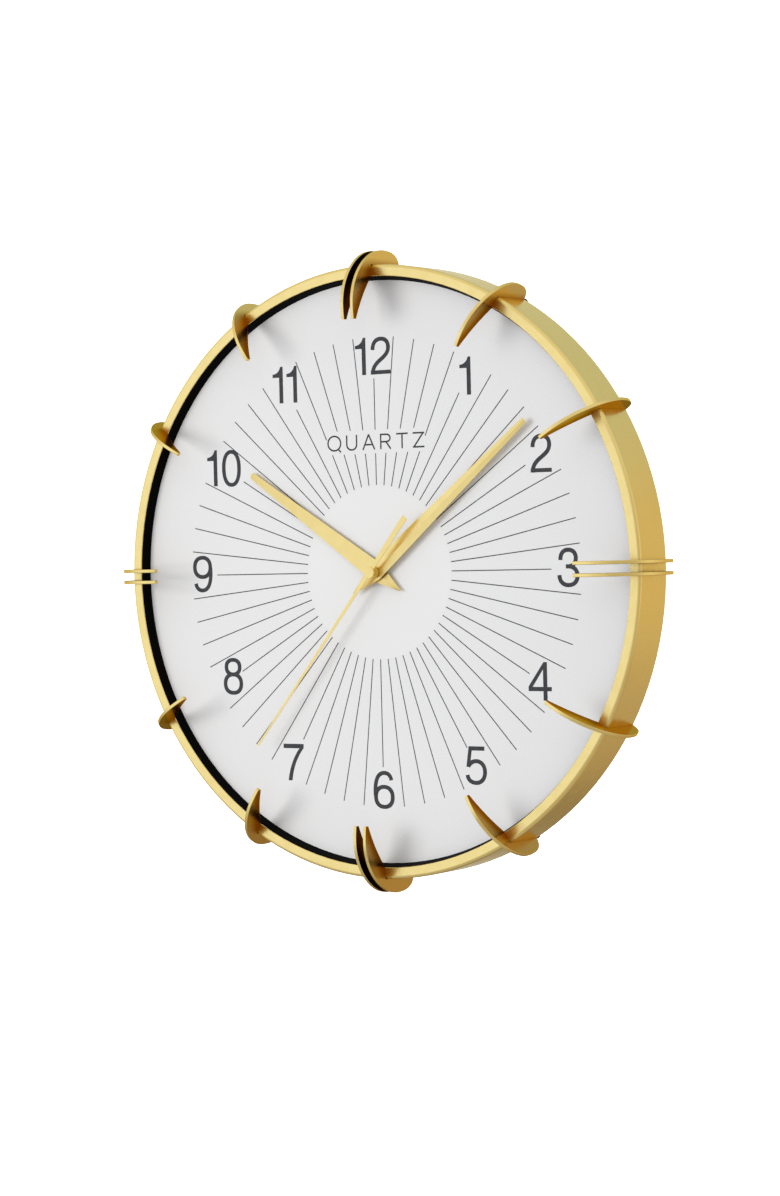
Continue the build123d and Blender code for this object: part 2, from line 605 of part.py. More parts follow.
with BuildPart() as rotor_pinion:
    disc(ROTOR_AXIS, ARBOR_RADIUS, (BRIDGE_LEVELS[1] + 0.2, COVER_BACK - 0.3))
    disc(ROTOR_AXIS, PIVOT_RADIUS, (PIVOT_END, COVER_BACK + 0.7))
    gear(ROTOR_AXIS, ROTOR_TEETH, ROTOR_MODULE, ROTOR_PHASE, ROTOR_PINION_LEVELS, small=True)
keep(rotor_pinion, "rotor_pinion")

with BuildPart() as rotor_magnet:
    disc(ROTOR_AXIS, MAGNET_RADIUS, MAGNET_LEVELS)
    disc(ROTOR_AXIS, ARBOR_RADIUS + 0.01, MAGNET_LEVELS, mode=Mode.SUBTRACT)
keep(rotor_magnet, "rotor_magnet")

with BuildPart() as intermediate_wheel:
    disc(INTERMEDIATE_AXIS, ARBOR_RADIUS, (BRIDGE_LEVELS[1] + 0.2, INTERMEDIATE_BEARING_BACK - 0.2))
    disc(INTERMEDIATE_AXIS, PIVOT_RADIUS, (PIVOT_END, INTERMEDIATE_BEARING_BACK + 1.4))
    gear(INTERMEDIATE_AXIS, INTERMEDIATE_TEETH, ROTOR_MODULE, INTERMEDIATE_PHASE, INTERMEDIATE_LEVELS)
    gear(
        INTERMEDIATE_AXIS,
        INTERMEDIATE_PINION,
        SECOND_MODULE,
        0.0,
        INTERMEDIATE_PINION_LEVELS,
        small=True,
    )
keep(intermediate_wheel, "intermediate_wheel")

with BuildPart() as second_wheel:
    disc(HAND_AXIS, ARBOR_RADIUS, (PIVOT_END, SECOND_HAND_FRONT - 0.4))
    gear(HAND_AXIS, SECOND_TEETH, SECOND_MODULE, SECOND_PHASE, SECOND_WHEEL_LEVELS)
    gear(HAND_AXIS, SECOND_PINION, THIRD_MODULE, 0.0, SECOND_PINION_LEVELS, small=True)
keep(second_wheel, "second_wheel")

with BuildPart() as third_wheel:
    disc(THIRD_AXIS, ARBOR_RADIUS, (BRIDGE_LEVELS[1] + 0.2, THIRD_BEARING_BACK - 0.2))
    disc(THIRD_AXIS, PIVOT_RADIUS, (PIVOT_END, THIRD_BEARING_BACK + 1.6))
    gear(THIRD_AXIS, THIRD_TEETH, THIRD_MODULE, THIRD_PHASE, THIRD_WHEEL_LEVELS)
    gear(THIRD_AXIS, THIRD_PINION, CENTRE_MODULE, 0.0, THIRD_PINION_LEVELS, small=True)
keep(third_wheel, "third_wheel")

with BuildPart() as centre_wheel:
    gear(HAND_AXIS, CENTRE_TEETH, CENTRE_MODULE, CENTRE_PHASE, CENTRE_WHEEL_LEVELS)
    disc(HAND_AXIS, MINUTE_TUBE_RADIUS + RUNNING_GAP, CENTRE_WHEEL_LEVELS, mode=Mode.SUBTRACT)
keep(centre_wheel, "centre_wheel")

with BuildPart() as cannon_pinion:
    minute_tube_levels = (MINUTE_TUBE_BACK, MINUTE_HAND_FRONT + SEAT_HEIGHT)
    disc(HAND_AXIS, MINUTE_SEAT_RADIUS, minute_tube_levels)
    disc(HAND_AXIS, MINUTE_TUBE_RADIUS, (MINUTE_TUBE_BACK, MINUTE_HAND_FRONT))
    disc(HAND_AXIS, MINUTE_TUBE_RADIUS + 0.8, (MINUTE_TUBE_BACK, MINUTE_TUBE_BACK + 0.3))
    gear(HAND_AXIS, CANNON_TEETH, SETTING_MODULE, 0.0, CANNON_LEVELS, small=True)
    disc(HAND_AXIS, ARBOR_RADIUS + 0.05, minute_tube_levels, mode=Mode.SUBTRACT)
keep(cannon_pinion, "cannon_pinion")

with BuildPart() as setting_wheel:
    gear(SETTING_AXIS, SETTING_TEETH, SETTING_MODULE, SETTING_PHASE, SETTING_WHEEL_LEVELS)
    gear(SETTING_AXIS, SETTING_PINION, HOUR_MODULE, 0.0, SETTING_PINION_LEVELS, small=True)
    post_hole_levels = (SETTING_WHEEL_LEVELS[0], SETTING_PINION_LEVELS[1])
    disc(SETTING_AXIS, POST_RADIUS + RUNNING_GAP, post_hole_levels, mode=Mode.SUBTRACT)
keep(setting_wheel, "setting_wheel")

with BuildPart() as hour_wheel:
    gear(HAND_AXIS, HOUR_TEETH, HOUR_MODULE, HOUR_PHASE, HOUR_WHEEL_LEVELS)
    hour_pipe_levels = (HOUR_WHEEL_LEVELS[0], HOUR_HAND_FRONT + SEAT_HEIGHT)
    disc(HAND_AXIS, HOUR_SEAT_RADIUS, hour_pipe_levels)
    disc(HAND_AXIS, HOUR_PIPE_RADIUS, (HOUR_WHEEL_LEVELS[0], HOUR_HAND_FRONT))
    disc(HAND_AXIS, MINUTE_TUBE_RADIUS + 0.05, hour_pipe_levels, mode=Mode.SUBTRACT)
keep(hour_wheel, "hour_wheel")

KNOB_LEVELS = (-22.7, -21.1)
KNOB_RADIUS = 5.5
with BuildPart() as setting_knob:
    gear(KNOB_AXIS, KNOB_TEETH, SETTING_MODULE, KNOB_PHASE, KNOB_PINION_LEVELS)
    disc(KNOB_AXIS, KNOB_STEM_RADIUS, (KNOB_LEVELS[1], KNOB_PINION_LEVELS[1]))
    disc(KNOB_AXIS, KNOB_RADIUS, KNOB_LEVELS)
    with BuildSketch(axis_plane(KNOB_AXIS, KNOB_LEVELS[0])):
        with PolarLocations(KNOB_RADIUS + 0.35, 24):
            Circle(0.6)
    extrude(amount=KNOB_LEVELS[1] - KNOB_LEVELS[0], mode=Mode.SUBTRACT)
keep(setting_knob, "setting_knob")


# ---------------------------------------------------------------- hands

def hand_plane(clock_angle, distance, front):
    """A plane across a hand, at a distance along it: local x is sideways and local y is the front."""
    outward = Vector(sin(radians(clock_angle)), 0, cos(radians(clock_angle)))
    clockwise = Vector(cos(radians(clock_angle)), 0, -sin(radians(clock_angle)))
    origin = outward * distance + Vector(0, -front, 0)
    return Plane(origin=origin, x_dir=clockwise, z_dir=outward * -1)


def build_dart_hand(name, clock_angle, front, bore_radius, stations, edge=0.3, ridge=0.7):
    """A faceted dart: roof-shaped sections, joined from the tail, over the widest place, to the tip."""
    with BuildPart() as hand:
        for start, end in zip(stations, stations[1:]):
            for distance, half_width in (start, end):
                with BuildSketch(hand_plane(clock_angle, distance, front)):
                    with BuildLine():
                        Polyline(
                            (-half_width, 0),
                            (half_width, 0),
                            (half_width, edge),
                            (0, ridge),
                            (-half_width, edge),
                            close=True,
                        )
                    make_face()
            loft(ruled=True)
        disc(HAND_AXIS, bore_radius, (front, front + ridge), mode=Mode.SUBTRACT)
    keep(hand, name)


build_dart_hand(
    "hour_hand",
    HOUR_ANGLE,
    HOUR_HAND_FRONT,
    HOUR_SEAT_RADIUS + 0.02,
    ((-19.8, 0.35), (0.0, 5.9), (106.5, 1.9)),
)
build_dart_hand(
    "minute_hand",
    MINUTE_ANGLE,
    MINUTE_HAND_FRONT,
    MINUTE_SEAT_RADIUS + 0.02,
    ((-19.5, 0.35), (0.0, 5.3), (133.6, 1.8)),
)

SECOND_HAND_THICKNESS = 0.4
SECOND_HUB_RADIUS = 3.5
with BuildPart() as second_hand:
    second_plane = Plane(
        origin=(0, -SECOND_HAND_FRONT, 0),
        x_dir=(sin(radians(SECOND_ANGLE)), 0, cos(radians(SECOND_ANGLE))),
        z_dir=(0, -1, 0),
    )
    with BuildSketch(second_plane):
        with BuildLine():
            Polyline(
                (131.4, -0.55),
                (131.4, 0.55),
                (0, 1.05),
                (-6.0, 1.3),
                (-40.6, 1.9),
                (-40.6, -1.9),
                (-6.0, -1.3),
                (0, -1.05),
                close=True,
            )
        make_face()
        Circle(SECOND_HUB_RADIUS)
    extrude(amount=SECOND_HAND_THICKNESS)
keep(second_hand, "second_hand")

with BuildPart() as second_hub:
    disc(HAND_AXIS, SECOND_HUB_RADIUS, (SECOND_HUB_FRONT, SECOND_HAND_FRONT))
    disc(HAND_AXIS, ARBOR_RADIUS + 0.01, (SECOND_HUB_FRONT, SECOND_HAND_FRONT - 0.4), mode=Mode.SUBTRACT)
keep(second_hub, "second_hub")

CAP_THICKNESS = 0.4
with BuildPart() as second_cap:
    cap_back = SECOND_HAND_FRONT + SECOND_HAND_THICKNESS
    disc(HAND_AXIS, SECOND_HUB_RADIUS, (cap_back, cap_back + CAP_THICKNESS))
    fillet(faces().sort_by(Axis.Y)[0].edges(), 0.25)
keep(second_cap, "second_cap")
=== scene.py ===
import math

import bmesh
import bpy
from mathutils import Matrix, Vector
from mathutils.geometry import delaunay_2d_cdt


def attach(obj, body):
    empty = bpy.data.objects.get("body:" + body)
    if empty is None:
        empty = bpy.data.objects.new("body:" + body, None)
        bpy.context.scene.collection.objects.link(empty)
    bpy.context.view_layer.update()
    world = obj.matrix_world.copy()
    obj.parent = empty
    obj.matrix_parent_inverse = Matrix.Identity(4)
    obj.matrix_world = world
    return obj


# Looks for the sunburst wall clock. Metres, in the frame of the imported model: the clock faces -Y
# and 12 o'clock is +Z. The printed shapes are given in millimetres and turned into metres by MM.

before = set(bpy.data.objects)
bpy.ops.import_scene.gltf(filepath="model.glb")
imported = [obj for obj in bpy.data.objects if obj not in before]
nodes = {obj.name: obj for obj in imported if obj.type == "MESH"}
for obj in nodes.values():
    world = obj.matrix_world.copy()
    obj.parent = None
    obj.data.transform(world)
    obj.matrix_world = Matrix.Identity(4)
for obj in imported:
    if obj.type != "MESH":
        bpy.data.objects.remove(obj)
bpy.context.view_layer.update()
scene = bpy.context.scene
MM = 0.001
CASE = "clock_case"


# ------------------------------------------------------------------ camera

CAMERA_PLACE = (0.99264, -1.44801, 0.01654)
CAMERA_AZIMUTH = math.radians(34.226)
CAMERA_ELEVATION = math.radians(1.034)
CAMERA_ROLL = math.radians(-1.379)
CAMERA_LENS = 90.925


def make_camera():
    """A long lens in front of the clock, to its right and a little above its centre."""
    azimuth, elevation, roll = CAMERA_AZIMUTH, CAMERA_ELEVATION, CAMERA_ROLL
    right = Vector((math.cos(azimuth), math.sin(azimuth), 0))
    up = Vector((
        -math.sin(azimuth) * math.sin(elevation),
        math.cos(azimuth) * math.sin(elevation),
        math.cos(elevation),
    ))
    back = right.cross(up)
    right, up = (
        right * math.cos(roll) + up * math.sin(roll),
        up * math.cos(roll) - right * math.sin(roll),
    )
    turn = Matrix((right, up, back)).transposed().to_4x4()
    camera = bpy.data.objects.new("camera", bpy.data.cameras.new("camera"))
    scene.collection.objects.link(camera)
    camera.matrix_world = Matrix.Translation(Vector(CAMERA_PLACE)) @ turn
    camera.data.lens = CAMERA_LENS
    camera.data.sensor_width = 36.0
    camera.data.clip_start = 0.05
    camera.data.clip_end = 200.0
    scene.camera = camera


make_camera()


# ------------------------------------------------------------------ material helpers

class Shades:
    """A node tree, with short calls for the nodes that patterns need."""

    def __init__(self, tree):
        self.tree = tree

    def put(self, socket, value):
        if isinstance(value, bpy.types.NodeSocket):
            self.tree.links.new(value, socket)
        else:
            socket.default_value = value

    def math(self, kind, *values):
        node = self.tree.nodes.new("ShaderNodeMath")
        node.operation = kind
        for socket, value in zip(node.inputs, values):
            self.put(socket, value)
        return node.outputs[0]

    def vector(self, kind, *values):
        node = self.tree.nodes.new("ShaderNodeVectorMath")
        node.operation = kind
        for socket, value in zip(node.inputs, values):
            self.put(socket, value)
        return node.outputs["Value" if kind in ("LENGTH", "DOT_PRODUCT") else "Vector"]

    def span(self, value, low, high, start=0.0, end=1.0, smooth=True):
        """Map low..high onto start..end, and hold the ends."""
        node = self.tree.nodes.new("ShaderNodeMapRange")
        node.interpolation_type = "SMOOTHSTEP" if smooth else "LINEAR"
        for socket, number in zip(list(node.inputs)[1:5], (low, high, start, end)):
            socket.default_value = number
        self.tree.links.new(value, node.inputs[0])
        return node.outputs[0]

    def mix(self, share, first, second):
        node = self.tree.nodes.new("ShaderNodeMix")
        node.data_type = "RGBA"
        colours = [s for s in node.inputs if s.type == "RGBA"]
        self.put(node.inputs[0], share)
        self.put(colours[0], first)
        self.put(colours[1], second)
        return [s for s in node.outputs if s.type == "RGBA"][0]

    def split(self, source):
        node = self.tree.nodes.new("ShaderNodeSeparateXYZ")
        self.tree.links.new(source, node.inputs[0])
        return node.outputs

    def ramp(self, value, stops):
        """Colours at places from 0 to 1, blended between."""
        node = self.tree.nodes.new("ShaderNodeValToRGB")
        node.color_ramp.interpolation = "EASE"
        elements = node.color_ramp.elements
        while len(elements) < len(stops):
            elements.new(0.5)
        for element, (place, colour) in zip(elements, stops):
            element.position = place
            element.color = colour
        self.tree.links.new(value, node.inputs[0])
        return node.outputs[0]


class Paint(Shades):
    """One material on a Principled shader, with its patterns laid out in the object's own space."""

    def __init__(self, name, **values):
        self.material = bpy.data.materials.new(name)
        self.material.use_nodes = True
        super().__init__(self.material.node_tree)
        self.tree.nodes.clear()
        self.shader = self.tree.nodes.new("ShaderNodeBsdfPrincipled")
        output = self.tree.nodes.new("ShaderNodeOutputMaterial")
        self.tree.links.new(self.shader.outputs[0], output.inputs[0])
        self.place = self.tree.nodes.new("ShaderNodeTexCoord").outputs["Object"]
        for socket, value in values.items():
            self.shader.inputs[socket.replace("_", " ")].default_value = value

    def feed(self, socket, source):
        self.tree.links.new(source, self.shader.inputs[socket])

    def stretched(self, scale):
        return self.vector("MULTIPLY", self.place, scale)

    def noise(self, scale, detail=3.0, rough=0.5, place=None):
        node = self.tree.nodes.new("ShaderNodeTexNoise")
        node.inputs["Scale"].default_value = scale
        node.inputs["Detail"].default_value = detail
        node.inputs["Roughness"].default_value = rough
        self.tree.links.new(place or self.place, node.inputs["Vector"])
        return node.outputs["Fac"]

    def cells(self, scale):
        node = self.tree.nodes.new("ShaderNodeTexVoronoi")
        node.inputs["Scale"].default_value = scale
        self.tree.links.new(self.place, node.inputs["Vector"])
        return node.outputs["Distance"]

    def wave(self, value, pitch):
        """A sine of 0 to 1 with this pitch."""
        turned = self.math("SINE", self.math("MULTIPLY", value, 2 * math.pi / pitch))
        return self.span(turned, -1.0, 1.0, smooth=False)

    def radius(self):
        """The distance from the hand axis."""
        return self.vector("LENGTH", self.stretched((1.0, 0.0, 1.0)))

    def bump(self, height, strength, distance):
        node = self.tree.nodes.new("ShaderNodeBump")
        node.inputs["Strength"].default_value = strength
        node.inputs["Distance"].default_value = distance
        self.tree.links.new(height, node.inputs["Height"])
        self.feed("Normal", node.outputs[0])

    def mottle(self, colour, spread):
        """The colour, darkened in soft patches."""
        patches = self.span(self.noise(70.0, 4.0), 0.3, 0.7)
        return self.mix(patches, colour, shaded(colour, 1 - spread))

    def gloss(self, roughness, swing, scale=140.0):
        self.feed("Roughness", self.span(
            self.noise(scale, 3.0), 0.3, 0.7, roughness - swing, roughness + swing
        ))


def shaded(colour, share):
    """The colour, dimmed to this share of itself."""
    return tuple(c * share for c in colour[:3]) + (1.0,)


def linear(red, green, blue):
    """A screen colour of 0 to 255 as a linear one."""
    def channel(value):
        value /= 255
        return value / 12.92 if value <= 0.04045 else ((value + 0.055) / 1.055) ** 2.4
    return (channel(red), channel(green), channel(blue), 1.0)


# ------------------------------------------------------------------ materials

GOLD = (0.88, 0.67, 0.235, 1.0)
GOLD_WORN = (0.85, 0.62, 0.195, 1.0)
# A painted reflection and shade: the dark amber that stacked reflections give the blades' faces
PAINTED_SHADE_AMBER = (0.27, 0.075, 0.003, 1.0)
# A painted shade: the near black between the two blades of a pair
GAP_SHADE = (0.060, 0.011, 0.002, 1.0)
GOLD_EDGE_TINT = (1.0, 0.90, 0.55, 1.0)
BLADE_EDGE_TINT = (0.86, 0.66, 0.26, 1.0)

# Where the painted shade on the blades' faces starts and ends, in metres. INNER_EDGE is the
# direction, as shares of the radius and of -Y, in which the distance from a blade's inner edge is
# measured.
LIP_SHADE_RADII = (0.1835, 0.1745)
INNER_EDGE = (0.541, 0.841)
EDGE_SHADE_REACH = (0.1005, 0.1085)
LOW_SHADE_HEIGHTS = (0.175, 0.085)
PAIR_GAP_HALVES = (0.0034, 0.0028)


def paint_blade_shade(paint, colour):
    """Paint shade and reflection onto the blades' flat faces, where stacked reflections darken
    them.

    The painted shade turns the faces amber over the lip and on the lower blades, and near black
    between the two blades of a pair.
    """
    x, y, z = paint.split(paint.place)
    outward = paint.stretched((1.0, 0.0, 1.0))
    sideways = paint.vector("NORMALIZE", paint.vector("CROSS_PRODUCT", outward, (0.0, 1.0, 0.0)))
    normal = paint.tree.nodes.new("ShaderNodeNewGeometry").outputs["Normal"]
    facing = paint.math("ABSOLUTE", paint.vector("DOT_PRODUCT", normal, sideways))
    on_face = paint.span(facing, 0.75, 0.96)
    radius = paint.radius()
    over_lip = paint.span(radius, *LIP_SHADE_RADII)
    away = paint.math(
        "ADD",
        paint.math("MULTIPLY", radius, INNER_EDGE[0]),
        paint.math("MULTIPLY", y, -INNER_EDGE[1]),
    )
    near_edge = paint.span(away, *EDGE_SHADE_REACH, 1.0, 0.60)
    low = paint.span(z, *LOW_SHADE_HEIGHTS, 0.05, 0.55)
    # Painted shade: strongest over the lip near the inner edge, and on the lower blades
    painted_shade_share = paint.math("MAXIMUM", paint.math("MULTIPLY", over_lip, near_edge), low)
    colour = paint.mix(paint.math("MULTIPLY", on_face, painted_shade_share), colour, PAINTED_SHADE_AMBER)
    # Painted shade: the faces of a pair that look at each other go near black
    off_midplane = paint.math("MINIMUM", paint.math("ABSOLUTE", x), paint.math("ABSOLUTE", z))
    between = paint.math("MULTIPLY", on_face, paint.span(off_midplane, *PAIR_GAP_HALVES))
    return paint.mix(between, colour, GAP_SHADE)


def gold(name, roughness=0.27, blades=False):
    """Satin metallic gold lacquer: faint clouding, fine flake and orange peel, and on the blades a
    painted shade and reflection.
    """
    paint = Paint(
        name,
        Metallic=1.0,
        Specular_Tint=BLADE_EDGE_TINT if blades else GOLD_EDGE_TINT,
        Coat_Weight=0.0 if blades else 0.35,
        Coat_Roughness=0.16,
    )
    cloud = paint.span(paint.noise(30.0, 3.0), 0.35, 0.72, 0.0, 0.4)
    flake = paint.span(paint.cells(2600.0), 0.1, 0.5, 0.0, 0.06)
    colour = paint.mix(paint.math("MAXIMUM", cloud, flake), GOLD, GOLD_WORN)
    # On the blades, painted shade and reflection are mixed into the colour of the flat faces
    if blades:
        colour = paint_blade_shade(paint, colour)
    paint.feed("Base Color", colour)
    paint.gloss(roughness, 0.035, 160.0)
    ripple = paint.math("MULTIPLY", paint.noise(5200.0, 2.0), 0.5)
    paint.bump(paint.math("ADD", paint.noise(900.0, 2.0), ripple), 0.05, 0.00004)
    return paint.material


def moulded(name, colour, roughness, spread=0.12, grain=1500.0, depth=0.00006, **values):
    """A moulded surface: slight mottling, a spark-eroded grain and soft flow marks."""
    paint = Paint(name, **values)
    paint.feed("Base Color", paint.mottle(colour, spread))
    paint.gloss(roughness, 0.06)
    flow = paint.noise(60.0, 2.0, place=paint.stretched((1.0, 1.0, 0.25)))
    paint.bump(paint.math("ADD", paint.noise(grain, 3.0), flow), 0.25, depth)
    return paint.material


def rolled_metal(name, colour, roughness, direction=(40.0, 40.0, 1.0), spread=0.15):
    """Rolled or drawn metal: long fine scratches and cloudy patches."""
    paint = Paint(name, Metallic=1.0)
    streaks = paint.noise(60.0, 4.0, 0.6, paint.stretched(direction))
    patches = paint.span(paint.noise(110.0, 4.0), 0.3, 0.7, 0.0, 0.6)
    darkening = paint.math("MAXIMUM", patches, paint.span(streaks, 0.4, 0.75))
    paint.feed("Base Color", paint.mix(darkening, colour, shaded(colour, 1 - spread)))
    paint.feed("Roughness", paint.span(streaks, 0.3, 0.7, roughness - 0.07, roughness + 0.1))
    paint.bump(streaks, 0.15, 0.00003)
    return paint.material


def turned_metal(name, colour, roughness):
    """Turned metal: fine rings round the hand axis, under a light tarnish."""
    paint = Paint(name, Metallic=1.0)
    rings = paint.wave(paint.radius(), 0.00012)
    tarnish = paint.span(paint.noise(420.0, 4.0), 0.35, 0.75, 0.0, 0.7)
    paint.feed("Base Color", paint.mix(tarnish, colour, shaded(colour, 0.7)))
    paint.gloss(roughness, 0.08, 300.0)
    paint.bump(rings, 0.2, 0.00001)
    return paint.material


def zinc_plate(name):
    """Bright zinc on pressed steel: angular spangle cells and rubbed streaks."""
    paint = Paint(name, Metallic=1.0)
    spangle = paint.span(paint.cells(320.0), 0.1, 0.8)
    colour = paint.mix(spangle, (0.60, 0.61, 0.63, 1), (0.42, 0.43, 0.45, 1))
    rubbing = paint.noise(70.0, 4.0, place=paint.stretched((1.0, 1.0, 12.0)))
    rub = paint.span(rubbing, 0.55, 0.75, 0.0, 0.4)
    paint.feed("Base Color", paint.mix(rub, colour, (0.72, 0.72, 0.72, 1)))
    paint.feed("Roughness", paint.span(spangle, 0.0, 1.0, 0.28, 0.46))
    paint.bump(paint.noise(900.0, 3.0), 0.2, 0.00004)
    return paint.material


def printed_dial(name):
    """Matt off-white enamel: a faint grain and soft unevenness, a shade lighter in the middle."""
    paint = Paint(name, Roughness=0.62, Specular_IOR_Level=0.3)
    grain = paint.span(paint.noise(1400.0, 3.0), 0.35, 0.65)
    base = paint.mix(grain, linear(228, 228, 229), linear(222, 222, 222))
    disc = paint.span(paint.radius(), 0.0485, 0.0515)
    base = paint.mix(disc, linear(228, 228, 228), base)
    cloud = paint.span(paint.noise(9.0, 2.0), 0.3, 0.7, 0.0, 0.25)
    paint.feed("Base Color", paint.mix(cloud, base, linear(221, 221, 221)))
    paint.bump(paint.noise(1900.0, 3.0), 0.12, 0.00002)
    return paint.material


def ink_print(name):
    """Screen-printed ink: nearly even, with pinholes and a slightly raised, satin skin."""
    paint = Paint(name, Specular_IOR_Level=0.35)
    holes = paint.span(paint.noise(2600.0, 3.0), 0.62, 0.74, 0.0, 0.5)
    unevenness = paint.span(paint.noise(300.0, 2.0), 0.3, 0.7)
    body = paint.mix(unevenness, linear(46, 47, 49), linear(56, 57, 59))
    paint.feed("Base Color", paint.mix(holes, body, linear(110, 110, 112)))
    paint.gloss(0.5, 0.08, 900.0)
    paint.bump(paint.noise(3200.0, 2.0), 0.2, 0.00001)
    return paint.material


def flocked(name):
    """Black flocked card: very dark, with a fine nap."""
    paint = Paint(name, Roughness=0.9, Specular_IOR_Level=0.04, Sheen_Weight=0.02)
    fluff = paint.noise(3000.0, 4.0)
    nap = paint.span(fluff, 0.3, 0.7)
    paint.feed(
        "Base Color", paint.mix(nap, (0.0007, 0.0006, 0.0006, 1), (0.0022, 0.0019, 0.0018, 1))
    )
    paint.bump(fluff, 0.5, 0.00008)
    return paint.material


def hardboard(name):
    """The rough face of hardboard: short fibres, flecks, and the woven mark of the press screen."""
    paint = Paint(name, Specular_IOR_Level=0.25)
    x, _, z = paint.split(paint.place)
    fibres = paint.noise(260.0, 5.0, 0.65, paint.stretched((1.0, 1.0, 3.5)))
    crossed = paint.noise(260.0, 5.0, 0.65, paint.stretched((3.5, 1.0, 1.0)))
    tangle = paint.span(paint.math("MULTIPLY", paint.math("ADD", fibres, crossed), 0.5), 0.38, 0.62)
    colour = paint.mix(tangle, (0.17, 0.088, 0.042, 1), (0.085, 0.042, 0.02, 1))
    flecks = paint.span(paint.noise(420.0, 4.0), 0.62, 0.7, 0.0, 0.65)
    colour = paint.mix(flecks, colour, (0.34, 0.21, 0.11, 1))
    damp = paint.span(paint.noise(14.0, 3.0), 0.35, 0.7, 0.0, 0.3)
    paint.feed("Base Color", paint.mix(damp, colour, (0.07, 0.035, 0.018, 1)))
    paint.gloss(0.82, 0.08)
    weave = paint.math("MULTIPLY", paint.wave(x, 0.0016), paint.wave(z, 0.0016))
    paint.bump(paint.math("ADD", weave, paint.math("MULTIPLY", tangle, 0.8)), 0.55, 0.00022)
    return paint.material


def rubber_skin(name):
    """Matt black rubber with a dusty bloom and small pits."""
    paint = Paint(name, Specular_IOR_Level=0.3)
    bloom = paint.span(paint.noise(500.0, 4.0), 0.45, 0.75, 0.0, 0.6)
    paint.feed("Base Color", paint.mix(bloom, (0.012, 0.012, 0.012, 1), (0.045, 0.044, 0.042, 1)))
    paint.gloss(0.8, 0.08, 400.0)
    paint.bump(paint.cells(2400.0), 0.4, 0.00008)
    return paint.material


def copper_winding(name):
    """Enamelled wire, wound turn beside turn along X."""
    paint = Paint(name, Metallic=1.0, Coat_Weight=0.6, Coat_Roughness=0.1)
    turns = paint.wave(paint.split(paint.place)["X"], 0.00018)
    unevenness = paint.span(paint.noise(500.0, 3.0), 0.3, 0.7)
    tone = paint.mix(unevenness, (0.55, 0.2, 0.07, 1), (0.42, 0.13, 0.04, 1))
    shade = paint.math("MULTIPLY", turns, 0.5)
    paint.feed("Base Color", paint.mix(shade, tone, (0.2, 0.05, 0.015, 1)))
    paint.gloss(0.3, 0.05, 600.0)
    paint.bump(turns, 0.5, 0.00006)
    return paint.material


def circuit(name):
    """Green solder mask over copper tracks that show as paler lines."""
    paint = Paint(name, Coat_Weight=0.3, Coat_Roughness=0.12)
    x, _, z = paint.split(paint.place)
    bend = paint.math("ADD", x, paint.math("MULTIPLY", paint.noise(160.0, 0.0), 0.0022))
    tracks = paint.span(paint.wave(bend, 0.0014), 0.62, 0.72)
    unevenness = paint.span(paint.noise(300.0, 3.0), 0.3, 0.7)
    mask = paint.mix(unevenness, (0.008, 0.10, 0.035, 1), (0.005, 0.075, 0.026, 1))
    paint.feed("Base Color", paint.mix(tracks, mask, (0.02, 0.2, 0.06, 1)))
    paint.gloss(0.35, 0.05, 500.0)
    paint.bump(tracks, 0.3, 0.00003)
    return paint.material


def battery_wrap(name):
    """A plain printed sleeve: dark blue with a silver band, and bare steel at the two ends."""
    paint = Paint(name, Coat_Weight=0.5, Coat_Roughness=0.08)
    x = paint.split(paint.place)["X"]
    scuffs = paint.noise(500.0, 4.0, place=paint.stretched((0.15, 1.0, 1.0)))
    blue = paint.mix(paint.span(scuffs, 0.35, 0.7), (0.015, 0.035, 0.10, 1), (0.03, 0.06, 0.15, 1))
    band = paint.span(x, 0.0132, 0.0134)
    sleeve = paint.mix(band, blue, (0.5, 0.5, 0.51, 1))
    end = paint.span(paint.math("ABSOLUTE", x), 0.02395, 0.0241)
    paint.feed("Base Color", paint.mix(end, sleeve, (0.55, 0.55, 0.57, 1)))
    paint.feed("Metallic", paint.math("MAXIMUM", end, paint.math("MULTIPLY", band, 0.7)))
    paint.feed("Roughness", paint.span(scuffs, 0.3, 0.7, 0.22, 0.38))
    paint.bump(paint.math("ADD", scuffs, end), 0.1, 0.00004)
    return paint.material


def sintered(name):
    """A plated magnet: grey, with a crystalline grain."""
    paint = Paint(name, Metallic=0.7)
    grains = paint.span(paint.cells(3200.0), 0.1, 0.6)
    paint.feed("Base Color", paint.mix(grains, (0.20, 0.20, 0.21, 1), (0.10, 0.10, 0.11, 1)))
    paint.gloss(0.45, 0.08, 700.0)
    paint.bump(grains, 0.3, 0.00003)
    return paint.material


ACETAL_GRAIN = {"grain": 2200.0, "depth": 0.00003}
BRASS = (0.62, 0.42, 0.16, 1)
STEEL = (0.58, 0.58, 0.60, 1)

